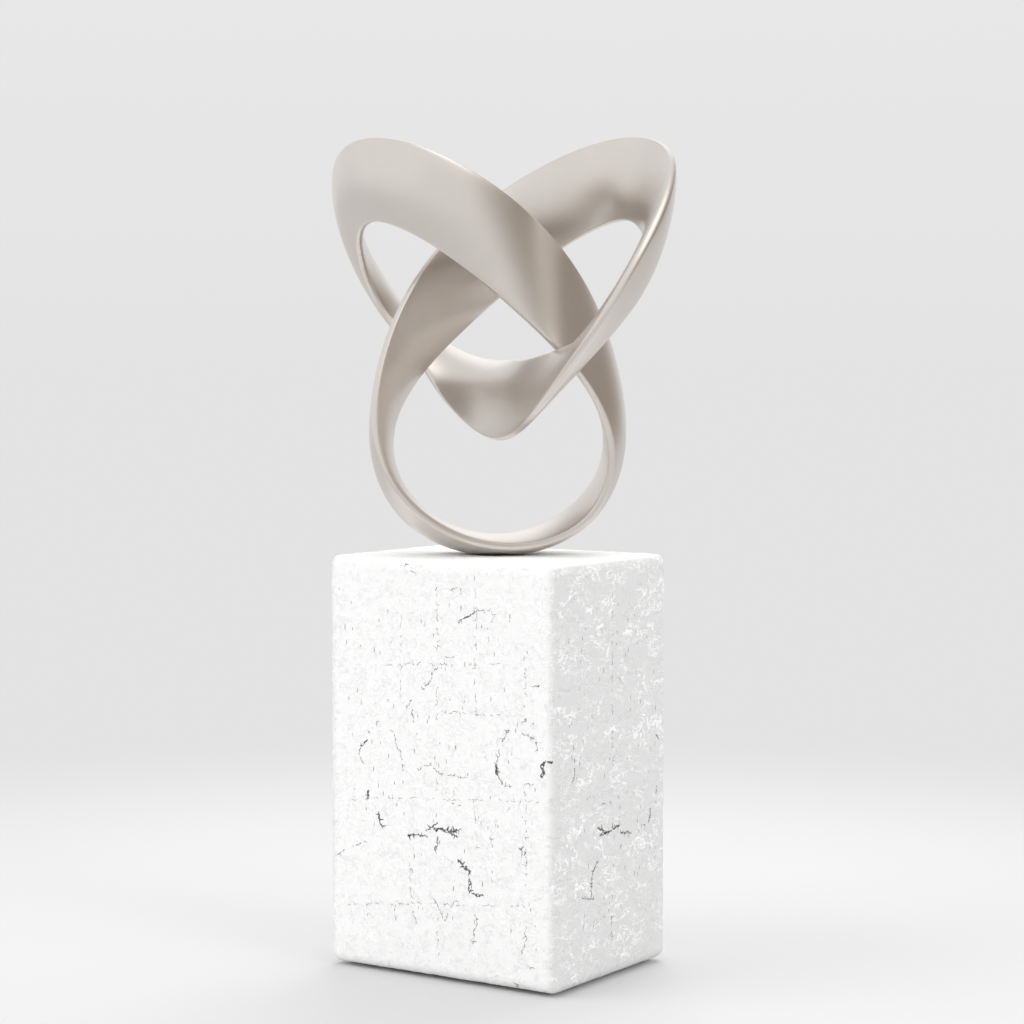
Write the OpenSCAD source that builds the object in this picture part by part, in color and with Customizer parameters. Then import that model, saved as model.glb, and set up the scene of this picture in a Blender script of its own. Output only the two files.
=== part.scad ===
// Table sculpture: a metal band tied in a three-lobed knot, bolted to an upright block of
// white stone. The lengths are millimetres. +Z is up, the front looks along +Y, and the
// origin lies in the middle of the underside, on the surface that the felt stands on.

/* [Knot] */
// Radius of the circle that the band's path goes round twice, which lays out the lobes
lobe_r = 68; // [60:1:76]
// Radius of the circle that it goes round once the other way, which opens the middle
core_r = 30.5; // [28:0.5:33]
// Radius of the small circle, gone round five times, that squares the lobes' shoulders
shoulder_r = 4.5; // [3:0.5:6]
// Radius of the small circle, gone round four times, that flattens the sides
side_r = 1.2; // [0:0.2:2]
// Depth of the weave: how far the path swings to the front and to the back
weave_depth = 34; // [30:1:38]
// Depth of the ripple on the weave, which steepens it where strands cross
ripple_depth = 3; // [1:0.5:4]
// Width of the band from rim to rim
band_w = 40; // [36:1:41]
// Thickness of the band along its middle
band_t = 11; // [9:0.5:12]
// Thickness of the band at its two rims
rim_t = 4.5; // [3:0.5:5.5]
// Depth of the flat seat that is ground under the lowest point
seat_cut = 1.6; // [1.2:0.1:2]

/* [Block] */
// Width of the block, left to right
block_w = 132; // [110:1:150]
// Depth of the block, front to back
block_d = 100; // [80:1:120]
// Height of the block without the felt
block_h = 198.5; // [150:0.5:220]
// Radius of the block's rounded edges
edge_r = 5; // [3:0.5:8]
// Thickness of the felt under the block
felt_t = 1.5; // [1:0.5:3]
// Distance from the block's sides to the felt
felt_inset = 9; // [8:1:14]

/* [Fixing] */
// Diameter of the threaded rod
rod_d = 6; // [5:0.5:6]
// Clearance of the rod in the block, on each side
rod_clearance = 0.5; // [0.3:0.1:0.8]
// Diameter of the locating pin
pin_d = 3; // [2.5:0.5:3.5]
// Distance from the middle of the rod to the middle of the locating pin
pin_offset = 8.5; // [8:0.5:9.5]
// Length of the locating pin in the block
pin_reach = 8; // [6:1:10]
// Diameter of the gasket between knot and block
gasket_d = 26; // [24:0.5:27]
// Thickness of the gasket between knot and block
gasket_t = 0.5; // [0.3:0.1:0.8]
// Diameter of the recess for the nut
recess_d = 30; // [28:1:36]
// Depth of the recess for the nut
recess_depth = 25; // [20:1:30]
// Diameter of the wide washer
washer_d = 24; // [20:1:26]
// Thickness of the wide washer
washer_t = 1.6; // [1.2:0.2:2]
// Diameter of the spring washer
spring_d = 11.8; // [11:0.2:12.4]
// Thickness of the spring washer
spring_t = 1.6; // [1.2:0.2:2]
// Width of the split in the spring washer
spring_gap = 1.2; // [1:0.2:1.6]
// Width of the nut across its flats
nut_w = 10; // [9:0.5:11]
// Thickness of the nut
nut_t = 5; // [4:0.5:6]
// Length of rod that stands out below the nut
rod_tail = 3; // [2:0.5:5]

/* [Hidden] */

// Colours of the metal, the stone, the steel, the gasket and the felt
metal_tone = [0.76, 0.73, 0.70];
stone_tone = [0.95, 0.95, 0.94];
steel_tone = [0.62, 0.63, 0.65];
gasket_tone = [0.16, 0.16, 0.17];
felt_tone = [0.30, 0.30, 0.31];

// Smoothness: facets of round pieces, sections along the band and points round a section
round_facets = 64;
band_sections = 216;
section_points = 22;
edge_steps = 6;

// How closely the points of a section crowd to its rims, and how square the rims are
rim_crowding = 0.8;
rim_squareness = 0.25;

// The band turns to and fro about its path between seven landmarks. Each is an angle on the
// way round and the turn there, in degrees. At a turn of 180 the band stands with its width
// front to back, as in the ring, and at 90 or 270 it lies flat to the viewer. The way starts
// in the middle of the bowl, the low inner stretch.
bowl = [2, 250];
right_lobe_entry = [41, 198];
right_lobe_exit = [79, 276];
ring_entry = [161, 143];
ring_exit = [199, 215];
left_lobe_entry = [281, 87];
left_lobe_exit = [327, 171];
landmarks = [
    bowl,
    right_lobe_entry,
    right_lobe_exit,
    ring_entry,
    ring_exit,
    left_lobe_entry,
    left_lobe_exit
];

// The bowl is pinched to a point. Each of its shoulders is shifted to the right, to the back
// and upwards by shares of lobe_r, at an angle on the way round, and the shift fades out
// within about a tenth of the way.
left_shoulder_angle = -16;
left_shoulder_shares = [0.13, 0, 0.085];
right_shoulder_angle = 14;
right_shoulder_shares = [-0.09, 0, -0.045];
shoulder_sharpness = 30;

// Overrun of every cut past the face that it opens
overrun = 1;
// Gap round a piece that is screwed or pressed into its hole, on each side
thread_gap = 0.05;
// Gap round the rod in gasket and washers, on each side
washer_gap = 0.2;
// Air left at the end of a blind hole
end_gap = 0.4;
// Share of the band's thickness that its blind holes are deep
hole_depth_share = 0.6;
// Share of a round bar's diameter that its end chamfers take
chamfer_share = 0.12;
// Shares of the nut's width that its turned faces keep, and that the corner chamfers are high
nut_face_share = 0.96;
nut_chamfer_share = 0.08;
// Slant of the spring washer's split
split_slant = 25;

// Heights of the faces that carry one another, from the felt up
block_top = felt_t + block_h;
seat_top = block_top + gasket_t;
recess_top = felt_t + recess_depth;
washer_low = recess_top - washer_t;
spring_low = washer_low - spring_t;
nut_low = spring_low - nut_t;
rod_low = nut_low - rod_tail;
hole_depth = hole_depth_share * band_t;
bar_top = seat_top + hole_depth - end_gap;

// Vectors
function unit(v) = v / norm(v);
function sign_power(x, p) = sign(x) * pow(abs(x), p);

// How strongly a shoulder's shift acts at an angle on the way round
function near(angle, centre) = pow((1 + cos(angle - centre)) / 2, shoulder_sharpness);

// Place on the band's path at an angle on the way round, seen from the knot's middle. Two
// large circles give the three lobes, and the weave goes to the front and back three times.
function path(t) =
    [
        core_r * sin(t) + lobe_r * sin(2 * t)
            - side_r * sin(4 * t) - shoulder_r * sin(5 * t),
        ripple_depth * sin(6 * t) - weave_depth * sin(3 * t),
        core_r * cos(t) - lobe_r * cos(2 * t)
            - side_r * cos(4 * t) + shoulder_r * cos(5 * t)
    ]
    + lobe_r * near(t, left_shoulder_angle) * left_shoulder_shares
    + lobe_r * near(t, right_shoulder_angle) * right_shoulder_shares;

// Turn at an angle on the way round, eased from the landmark before it to the next one
function turn(t) =
    let (angle = t < landmarks[0][0] ? t + 360 : t,
         marks = concat(landmarks, [landmarks[0] + [360, 0]]),
         k = max([for (i = [0 : len(landmarks) - 1]) if (marks[i][0] <= angle) i]),
         share = (angle - marks[k][0]) / (marks[k + 1][0] - marks[k][0]))
    marks[k][1] + (marks[k + 1][1] - marks[k][1]) * (1 - cos(180 * share)) / 2;

// Directions of the band's width and thickness at an angle on the way round. The width is
// turned about the path from the direction that points most nearly to the back.
section_step = 360 / band_sections;
function along(t) = unit(path(t + section_step) - path(t - section_step));
function backward(way) = unit([0, 1, 0] - way * way[1]);
function width_way(t) =
    let (way = along(t), back = backward(way))
    cos(turn(t)) * back + sin(turn(t)) * cross(way, back);

// Section of the band, a lens with blunt rims: across its width and through its thickness
function section_point(a) =
    let (across = sign_power(cos(a), rim_crowding),
         half_t = (rim_t + (band_t - rim_t) * (1 - pow(across, 2))) / 2)
    [across * band_w / 2, half_t * sign_power(sin(a), rim_squareness)];
section = [for (j = [0 : section_points - 1]) section_point(360 * j / section_points)];

// Points of the band, section by section, and the height of its lowest one
function ring_points(t) =
    let (middle = path(t), wide = width_way(t), thick = cross(along(t), wide))
    [for (p = section) middle + p[0] * wide + p[1] * thick];
band_rings = [for (i = [0 : band_sections - 1]) ring_points(i * section_step)];
band_points = [for (ring = band_rings) each ring];
band_low = min([for (p = band_points) p[2]]);

// Each four-sided patch between two sections is two triangles
function corner(i, j) =
    (i % band_sections) * section_points + j % section_points;
band_faces = [
    for (i = [0 : band_sections - 1], j = [0 : section_points - 1])
        each [
            [corner(i, j), corner(i + 1, j), corner(i + 1, j + 1)],
            [corner(i, j), corner(i + 1, j + 1), corner(i, j + 1)]
        ]
];

// Corner points of a rectangle with rounded corners, about the origin
function rounded_rectangle(w, d, r) = [
    for (quarter = [0 : 3], step = [0 : edge_steps])
        let (a = 90 * (quarter + step / edge_steps),
             sx = quarter == 0 || quarter == 3 ? 1 : -1,
             sy = quarter < 2 ? 1 : -1)
        [sx * (w / 2 - r) + r * cos(a), sy * (d / 2 - r) + r * sin(a)]
];

// Upright round bar between two heights, with a chamfer at each end
module chamfered_bar(d, low, high) {
    chamfer = chamfer_share * d;
    rotate_extrude($fn = round_facets)
        polygon([
            [0, low],
            [d / 2 - chamfer, low],
            [d / 2, low + chamfer],
            [d / 2, high - chamfer],
            [d / 2 - chamfer, high],
            [0, high]
        ]);
}

// Upright hole between two heights, opened past both by the overrun where asked
module hole(d, low, high, below = 0, above = 0) {
    translate([0, 0, low - below])
        cylinder(d = d, h = high - low + below + above, $fn = round_facets);
}

// Flat ring between two heights
module flat_ring(outer_d, inner_d, low, thickness) {
    difference() {
        translate([0, 0, low])
            cylinder(d = outer_d, h = thickness, $fn = round_facets);
        hole(inner_d, low, low + thickness, overrun, overrun);
    }
}

// The cast band, with the flat seat and the blind holes for rod and pin
module knot_band() {
    color(metal_tone)
        difference() {
            translate([0, 0, seat_top - seat_cut - band_low])
                polyhedron(points = band_points, faces = band_faces, convexity = 10);
            translate([-band_w / 2, -band_w / 2, seat_top - band_t])
                cube([band_w, band_w, band_t]);
            hole(rod_d + 2 * thread_gap, seat_top, seat_top + hole_depth, overrun);
            translate([0, pin_offset, 0])
                hole(pin_d + 2 * thread_gap, seat_top, seat_top + hole_depth, overrun);
        }
}

// The thin gasket that keeps the metal off the stone, with holes for rod and pin
module seat_gasket() {
    color(gasket_tone)
        difference() {
            flat_ring(gasket_d, rod_d + 2 * washer_gap, block_top, gasket_t);
            translate([0, pin_offset, 0])
                hole(pin_d + 2 * washer_gap, block_top, seat_top, overrun, overrun);
        }
}

// The rod that holds the knot down
module fixing_rod() {
    color(steel_tone)
        chamfered_bar(rod_d, rod_low, bar_top);
}

// The pin that keeps the knot from turning on its rod
module locating_pin() {
    color(steel_tone)
        translate([0, pin_offset, 0])
            chamfered_bar(pin_d, block_top - pin_reach, bar_top);
}

// The block: three rounded outlines cut one another, so that all twelve edges are round
module block_blank() {
    middle = felt_t + block_h / 2;
    intersection() {
        translate([0, 0, felt_t])
            linear_extrude(height = block_h)
                polygon(rounded_rectangle(block_w, block_d, edge_r));
        translate([0, block_d / 2, middle])
            rotate([90, 0, 0])
                linear_extrude(height = block_d)
                    polygon(rounded_rectangle(block_w, block_h, edge_r));
        translate([-block_w / 2, 0, middle])
            rotate([90, 0, 90])
                linear_extrude(height = block_w)
                    polygon(rounded_rectangle(block_d, block_h, edge_r));
    }
}

module plinth_block() {
    color(stone_tone)
        difference() {
            block_blank();
            hole(rod_d + 2 * rod_clearance, recess_top, block_top, overrun, overrun);
            hole(recess_d, felt_t, recess_top, overrun);
            translate([0, pin_offset, 0])
                hole(pin_d + 2 * thread_gap, block_top - pin_reach - end_gap, block_top,
                     0, overrun);
        }
}

// The wide washer that spreads the nut's pull over the brittle stone
module load_washer() {
    color(steel_tone)
        flat_ring(washer_d, rod_d + 2 * washer_gap, washer_low, washer_t);
}

// The split washer, pressed flat by the nut
module spring_washer() {
    color(steel_tone)
        difference() {
            flat_ring(spring_d, rod_d + 2 * washer_gap, spring_low, spring_t);
            translate([spring_d / 2, 0, spring_low + spring_t / 2])
                rotate([split_slant, 0, 0])
                    cube([spring_d, spring_gap, spring_d], center = true);
        }
}

// The nut: a hexagon whose corners are turned down at both faces
module clamp_nut() {
    corner_r = nut_w / 2 / cos(30);
    face_r = nut_face_share * nut_w / 2;
    chamfer = nut_chamfer_share * nut_w;
    color(steel_tone)
        difference() {
            intersection() {
                translate([0, 0, nut_low])
                    cylinder(r = corner_r, h = nut_t, $fn = 6);
                translate([0, 0, nut_low])
                    rotate_extrude($fn = round_facets)
                        polygon([
                            [0, 0],
                            [face_r, 0],
                            [corner_r + chamfer, chamfer],
                            [corner_r + chamfer, nut_t - chamfer],
                            [face_r, nut_t],
                            [0, nut_t]
                        ]);
            }
            hole(rod_d + 2 * thread_gap, nut_low, nut_low + nut_t, overrun, overrun);
        }
}

// The felt sheet that the sculpture stands on, which also closes the recess
module felt_base() {
    color(felt_tone)
        linear_extrude(height = felt_t)
            polygon(rounded_rectangle(block_w - 2 * felt_inset, block_d - 2 * felt_inset,
                                      edge_r));
}

knot_band();
seat_gasket();
fixing_rod();
locating_pin();
plinth_block();
load_washer();
spring_washer();
clamp_nut();
felt_base();
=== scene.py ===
"""Looks of a table sculpture: a satin metal knot on an upright block of white stone.

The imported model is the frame. The band of the knot and the stone block are modelled again
here with their finer forms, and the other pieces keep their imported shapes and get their
finishes. Everything is in metres, with +Z up and the front looking along +Y.
"""

import logging
import math
import random
from dataclasses import dataclass, field, replace
from enum import Enum
from typing import Iterable, Optional, Sequence, Union

import bmesh
import bpy
from mathutils import Euler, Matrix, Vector, noise
from mathutils.bvhtree import BVHTree


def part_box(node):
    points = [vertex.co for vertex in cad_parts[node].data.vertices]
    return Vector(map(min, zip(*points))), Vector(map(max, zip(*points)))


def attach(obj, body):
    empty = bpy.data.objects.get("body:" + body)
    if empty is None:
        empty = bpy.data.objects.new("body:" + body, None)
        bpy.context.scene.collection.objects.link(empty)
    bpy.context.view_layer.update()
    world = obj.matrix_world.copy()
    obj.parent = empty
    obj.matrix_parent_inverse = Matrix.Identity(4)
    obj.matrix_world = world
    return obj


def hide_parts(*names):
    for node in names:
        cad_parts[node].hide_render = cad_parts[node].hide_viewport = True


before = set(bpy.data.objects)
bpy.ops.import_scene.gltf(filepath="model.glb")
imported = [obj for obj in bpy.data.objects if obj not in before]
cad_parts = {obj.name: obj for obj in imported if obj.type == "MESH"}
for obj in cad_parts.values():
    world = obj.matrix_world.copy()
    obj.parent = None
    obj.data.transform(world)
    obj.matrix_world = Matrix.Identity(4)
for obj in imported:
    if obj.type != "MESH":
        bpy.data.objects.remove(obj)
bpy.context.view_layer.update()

MM = 0.001
LOG = logging.getLogger("sculpture")
Colour = tuple[float, float, float]
Place = tuple[float, float, float]
Pixel = tuple[float, float]
Span = tuple[float, float]
Landmark = tuple[float, float]
# What an inlet of a node takes: another node's socket, a number, a colour or a vector
Feed = Union[bpy.types.NodeSocket, float, Place]


@dataclass(frozen=True)
class Viewpoint:
    """The photograph's viewpoint: where the camera stands and how it looks."""

    place: Place = (0.7071, -1.0374, 0.2898)
    azimuth: float = 33.975
    pitch: float = 3.172
    lens: float = 91.28
    sensor_w: float = 36.0
    picture_w: float = 1024.0

    def turn(self) -> Euler:
        """Turn of the camera about the three axes."""
        return Euler((math.radians(90 - self.pitch), 0, math.radians(self.azimuth)))

    def ray(self, pixel: Pixel) -> Vector:
        """Direction from the camera through a pixel of the picture.

        Args:
            pixel: the pixel, from the picture's left and top edges.

        Returns:
            The unit direction.
        """
        reach = self.lens / self.sensor_w * self.picture_w
        half = self.picture_w / 2
        way = Vector((pixel[0] - half, half - pixel[1], -reach))
        way.rotate(self.turn())
        return way.normalized()


class Slot(Enum):
    """Material slots of the record that the pieces' finishes stand for, named in the log."""

    METAL = "satin_metal"
    STONE = "white_stone"
    STEEL = "zinc_steel"
    RUBBER = "dark_rubber"
    FELT = "grey_felt"


class Face(Enum):
    """Upright faces of the block, each with the way that it looks along X and Y."""

    FRONT = (0, -1)
    RIGHT = (1, 0)
    BACK = (0, 1)
    LEFT = (-1, 0)


# --- Nodes of a material ---

@dataclass(frozen=True)
class Cloud:
    """A noise pattern: its blotches in a metre, its finer layers and how it is bent."""

    scale: float
    detail: float = 2.0
    rough: float = 0.6
    bend: float = 0.0


class NodeBench:
    """Short ways to add and join the nodes of one material or world."""

    def __init__(self, tree: bpy.types.NodeTree) -> None:
        """Clears the tree and keeps it."""
        self.tree = tree
        tree.nodes.clear()

    def add(self, kind: str, inlets: Optional[dict[str | int, Feed]] = None,
            **settings: object) -> bpy.types.Node:
        """Adds a node and feeds its inlets.

        Args:
            kind: Blender's name of the node type.
            inlets: what its inlets take, by their names or numbers.
            settings: the node's own settings, by name.

        Returns:
            The new node.
        """
        node = self.tree.nodes.new(kind)
        for name, value in settings.items():
            setattr(node, name, value)
        for key, value in (inlets or {}).items():
            inlet = node.inputs[key]
            if isinstance(value, bpy.types.NodeSocket):
                self.tree.links.new(value, inlet)
            else:
                inlet.default_value = (*value, 1.0) if inlet.type == "RGBA" else value
        return node

    def noise(self, place: Feed, cloud: Cloud, out: str = "Fac") -> bpy.types.NodeSocket:
        """Adds a noise pattern.

        Args:
            place: the place that it is asked for.
            cloud: the pattern.
            out: name of the socket that is wanted.

        Returns:
            The socket of the pattern.
        """
        return self.add("ShaderNodeTexNoise", {
            "Vector": place, "Scale": cloud.scale, "Detail": cloud.detail,
            "Roughness": cloud.rough, "Distortion": cloud.bend}).outputs[out]

    def remap(self, value: Feed, span: Span, to: Span = (0.0, 1.0),
              smooth: bool = False) -> bpy.types.NodeSocket:
        """Maps a value from one span to another and clamps it.

        Args:
            value: the value.
            span: the span that it comes from.
            to: the span that it goes to.
            smooth: whether the ends ease in and out.

        Returns:
            The socket of the mapped value.
        """
        return self.add("ShaderNodeMapRange", {
            "Value": value, "From Min": span[0], "From Max": span[1], "To Min": to[0],
            "To Max": to[1]}, interpolation_type="SMOOTHSTEP" if smooth else "LINEAR"
        ).outputs["Result"]

    def blend(self, share: Feed, first: Feed, second: Feed) -> bpy.types.NodeSocket:
        """Blends two colours by a share, from 0 for the first to 1 for the second."""
        return self.add("ShaderNodeMix", {"Factor": share, 6: first, 7: second},
                        data_type="RGBA").outputs[2]

    def math(self, operation: str, first: Feed, second: Feed) -> bpy.types.NodeSocket:
        """Joins two values by a sum, product or other operation of Blender's."""
        return self.add("ShaderNodeMath", {0: first, 1: second},
                        operation=operation).outputs[0]

    def vector(self, operation: str, first: Feed,
               second: Feed = (0.0, 0.0, 0.0)) -> bpy.types.NodeSocket:
        """Joins two vectors by a sum, product or other operation of Blender's."""
        node = self.add("ShaderNodeVectorMath", {0: first, 1: second}, operation=operation)
        return node.outputs["Value" if operation in ("DOT_PRODUCT", "LENGTH") else "Vector"]

    def mixed(self, share: Feed, first: bpy.types.NodeSocket,
              second: bpy.types.NodeSocket) -> bpy.types.NodeSocket:
        """Mixes two shaders by a share, from 0 for the first to 1 for the second."""
        return self.add("ShaderNodeMixShader", {0: share, 1: first, 2: second}).outputs[0]

    def bump(self, height: Feed, depth: float, strength: float,
             under: Optional[bpy.types.NodeSocket] = None) -> bpy.types.NodeSocket:
        """Adds a relief of the surface.

        Args:
            height: the height, from 0 to 1.
            depth: depth of the relief in metres.
            strength: how strongly it shows.
            under: another relief that this one lies on.

        Returns:
            The socket of the changed normal.
        """
        inlets = {"Strength": strength, "Distance": depth, "Height": height}
        if under is not None:
            inlets["Normal"] = under
        return self.add("ShaderNodeBump", inlets).outputs["Normal"]


class Finish:
    """A finish of a surface, made as a node material when it is first asked for."""

    name: str

    def inlets(self, bench: NodeBench, place: bpy.types.NodeSocket) -> dict[str, Feed]:
        """Adds the pattern nodes and gives what the shader's inlets take."""
        raise NotImplementedError

    def material(self) -> bpy.types.Material:
        """Makes the node material of this finish, or finds the one made before."""
        made = bpy.data.materials.get(self.name)
        if made is None:
            made = bpy.data.materials.new(self.name)
            made.use_nodes = True
            bench = NodeBench(made.node_tree)
            place = bench.add("ShaderNodeTexCoord").outputs["Object"]
            shader = bench.add("ShaderNodeBsdfPrincipled", self.inlets(bench, place))
            bench.add("ShaderNodeOutputMaterial", {"Surface": shader.outputs["BSDF"]})
        return made


@dataclass(frozen=True)
class GrainedFinish(Finish):
    """An even finish: two tones in soft clouds, under a grain if it has one."""

    name: str
    light_tone: Colour
    dark_tone: Colour
    clouds: Cloud
    tone_edges: Span
    rough_span: Span
    depth: float
    relief: float
    grain: Optional[Cloud] = None
    metallic: float = 0.0
    sheen: float = 0.0
    shine: float = 0.5
    rough_edges: Span = (0.3, 0.7)

    def inlets(self, bench: NodeBench, place: bpy.types.NodeSocket) -> dict[str, Feed]:
        """Clouds the tone and lays the grain over it."""
        clouds = bench.noise(place, self.clouds)
        grain = bench.noise(place, self.grain) if self.grain else clouds
        share = bench.remap(clouds, self.tone_edges)
        low, high = self.rough_span
        rough = low if low == high else bench.remap(grain, self.rough_edges, self.rough_span)
        return {"Base Color": bench.blend(share, self.dark_tone, self.light_tone),
                "Roughness": rough,
                "Normal": bench.bump(grain, self.depth, self.relief),
                "Metallic": self.metallic,
                "Sheen Weight": self.sheen,
                "Specular IOR Level": self.shine}


# Bead-blasted cast metal in a warm silver
SATIN_METAL = GrainedFinish(
    "satin_warm_silver", light_tone=(0.685, 0.643, 0.602), dark_tone=(0.655, 0.610, 0.567),
    clouds=Cloud(26.0, 4.0, 0.55), tone_edges=(0.3, 0.7), rough_span=(0.28, 0.37),
    depth=0.035 * MM, relief=0.7, grain=Cloud(1900.0), metallic=1.0)
# Bright zinc plating with spangles and fine scratches
ZINC_STEEL = GrainedFinish(
    "bright_zinc", light_tone=(0.62, 0.63, 0.66), dark_tone=(0.45, 0.46, 0.50),
    clouds=Cloud(260.0, 3.0), tone_edges=(0.35, 0.65), rough_span=(0.2, 0.38),
    depth=0.01 * MM, relief=0.4, grain=Cloud(2600.0), metallic=1.0)
# Painted shade in the cracks of the stone, dark grey, with paler dust in places
CRACK_SHADE_AND_DUST = GrainedFinish(
    "crack_shade_and_dust", light_tone=(0.26, 0.26, 0.26), dark_tone=(0.055, 0.055, 0.056),
    clouds=Cloud(1300.0, 3.0), tone_edges=(0.42, 0.66), rough_span=(0.95, 0.95),
    depth=0.2 * MM, relief=0.6, shine=0.1)
# Matt dark rubber with a faint bloom
DARK_RUBBER = GrainedFinish(
    "dark_gasket_rubber", light_tone=(0.050, 0.050, 0.052), dark_tone=(0.022, 0.022, 0.024),
    clouds=Cloud(500.0, 3.0), tone_edges=(0.35, 0.7), rough_span=(0.6, 0.85),
    depth=0.03 * MM, relief=0.5)
# Pressed grey felt with matted fibres and a soft sheen
GREY_FELT = GrainedFinish(
    "pressed_grey_felt", light_tone=(0.13, 0.13, 0.135), dark_tone=(0.055, 0.055, 0.06),
    clouds=Cloud(900.0, 6.0, 0.75, 1.6), tone_edges=(0.35, 0.65), rough_span=(0.95, 0.95),
    depth=0.25 * MM, relief=0.8, sheen=0.25)


@dataclass(frozen=True)
class WhiteStone(Finish):
    """Rough white stone skin: pale curling wisps, fine grey crackle, a crust and a grain, over
    a ground of painted light and shade that differs from face to face.
    """

    name: str = "rough_white_stone"
    # Ground tones with painted light and shade: darker sides, a lighter front and the lightest
    # top, as the lamps fall on them
    side_painted_shade_tone: Colour = (0.665, 0.665, 0.663)
    front_painted_light_tone: Colour = (0.865, 0.865, 0.862)
    wisp_tone: Colour = (0.97, 0.97, 0.967)
    crackle_tone: Colour = (0.72, 0.72, 0.715)
    top_painted_light_tone: Colour = (0.935, 0.935, 0.932)
    # Where the top's painted light starts and where the sides' painted shade starts; the side
    # share also sets the wisps' relief
    top_z: Span = (0.1982, 0.1994)
    side_x: Span = (0.060, 0.0655)
    stretch: Place = (1.0, 0.62, 1.0)
    warp: Cloud = Cloud(170.0, 4.0, 0.65)
    warp_reach: float = 7.0 * MM
    curl: Cloud = Cloud(1.0, 5.0, 0.62, 0.4)
    wisp_scales: tuple[float, float] = (135.0, 300.0)
    wisp_width: float = 0.040
    wisp_share: float = 0.95
    wisp_gaps: float = 0.55
    crackle_scale: float = 650.0
    crackle_width: float = 0.05
    crackle_share: float = 0.38
    crackle_gaps: float = 0.4
    gap: Cloud = Cloud(1.0, 3.0)
    gap_edges: Span = (0.44, 0.56)
    crust: Cloud = Cloud(620.0, 5.0, 0.62, 0.5)
    grain: Cloud = Cloud(2000.0)
    wisp_depth: float = 0.30 * MM
    crust_depth: float = 0.32 * MM
    grain_depth: float = 0.14 * MM
    front_relief: float = 0.7
    crust_relief: float = 0.5
    wisp_relief: float = 0.7
    grain_relief: float = 0.6
    roughness: float = 0.85
    shine: float = 0.3

    def broken(self, bench: NodeBench, place: Feed, line: Feed,
               scale: float) -> bpy.types.NodeSocket:
        """Keeps a line only where a cloud says so.

        Args:
            bench: where the nodes are added.
            place: the place that the line is asked for.
            line: the line's strength.
            scale: how many clouds fit in a metre.

        Returns:
            The socket of what is left of the line, from 0 to 1.
        """
        cloud = bench.noise(place, replace(self.gap, scale=scale))
        return bench.math("MULTIPLY", line, bench.remap(cloud, self.gap_edges))

    def wisps(self, bench: NodeBench, place: Feed, scale: float) -> bpy.types.NodeSocket:
        """Draws thin curling wisps where a cloud passes its middle value.

        Args:
            bench: where the nodes are added.
            place: the place that they are asked for.
            scale: how many curls fit in a metre.

        Returns:
            The socket of the wisps' height, from 0 to 1.
        """
        cloud = bench.noise(place, replace(self.curl, scale=scale))
        off = bench.math("ABSOLUTE", bench.math("SUBTRACT", cloud, 0.5), 0.0)
        line = bench.remap(off, (0.0, self.wisp_width), (1.0, 0.0), True)
        return self.broken(bench, place, line, scale * self.wisp_gaps)

    def crackle(self, bench: NodeBench, place: Feed) -> bpy.types.NodeSocket:
        """Draws a broken net of fine lines on a place that is bent unevenly.

        Args:
            bench: where the nodes are added.
            place: the place that the net is asked for.

        Returns:
            The socket of the lines' strength, from 0 to 1.
        """
        middle = bench.vector("SUBTRACT", bench.noise(place, self.warp, "Color"),
                              (0.5, 0.5, 0.5))
        moved = bench.vector("ADD", place,
                             bench.vector("MULTIPLY", middle, (self.warp_reach,) * 3))
        net = bench.add("ShaderNodeTexVoronoi", {"Scale": self.crackle_scale, "Vector": moved},
                        feature="DISTANCE_TO_EDGE").outputs["Distance"]
        line = bench.remap(net, (0.0, self.crackle_width), (1.0, 0.0), True)
        return self.broken(bench, place, line, self.crackle_scale * self.crackle_gaps)

    def ground(self, bench: NodeBench, place: Feed, side: Feed) -> bpy.types.NodeSocket:
        """Tone of the ground, with painted light and shade: lighter on the front, darker on
        the sides, lightest on the top.

        Args:
            bench: where the nodes are added.
            place: the place that it is asked for.
            side: share of the side faces.

        Returns:
            The socket of the tone.
        """
        height = bench.add("ShaderNodeSeparateXYZ", {"Vector": place}).outputs["Z"]
        top = bench.remap(height, self.top_z, smooth=True)
        return bench.blend(top, bench.blend(side, self.front_painted_light_tone, self.side_painted_shade_tone),
                           self.top_painted_light_tone)

    def inlets(self, bench: NodeBench, place: bpy.types.NodeSocket) -> dict[str, Feed]:
        """Lays wisps, crackle, crust and grain over the ground of painted light and shade."""
        across = bench.add("ShaderNodeSeparateXYZ", {"Vector": place}).outputs["X"]
        side = bench.remap(bench.math("ABSOLUTE", across, 0.0), self.side_x, smooth=True)
        # Ground with painted light and shade from face to face
        tone = self.ground(bench, place, side)
        place = bench.vector("MULTIPLY", place, self.stretch)
        wisps = bench.math("MAXIMUM", *(self.wisps(bench, place, scale)
                                        for scale in self.wisp_scales))
        crackle = self.crackle(bench, place)
        tone = bench.blend(bench.math("MULTIPLY", wisps, self.wisp_share), tone,
                           self.wisp_tone)
        tone = bench.blend(bench.math("MULTIPLY", crackle, self.crackle_share), tone,
                           self.crackle_tone)
        height = bench.math("MULTIPLY", wisps,
                            bench.remap(side, (0.0, 1.0), (self.front_relief, 1.0)))
        low = bench.bump(bench.noise(place, self.crust), self.crust_depth, self.crust_relief)
        mid = bench.bump(height, self.wisp_depth, self.wisp_relief, low)
        high = bench.bump(bench.noise(place, self.grain), self.grain_depth,
                          self.grain_relief, mid)
        return {"Base Color": tone, "Roughness": self.roughness,
                "Specular IOR Level": self.shine, "Normal": high}


# --- Meshes ---

def new_object(name: str, bm: bmesh.types.BMesh) -> bpy.types.Object:
    """Makes an object of a bmesh, which is freed, and adds it to the scene."""
    mesh = bpy.data.meshes.new(name)
    bm.to_mesh(mesh)
    bm.free()
    made = bpy.data.objects.new(name, mesh)
    bpy.context.scene.collection.objects.link(made)
    return made


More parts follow.
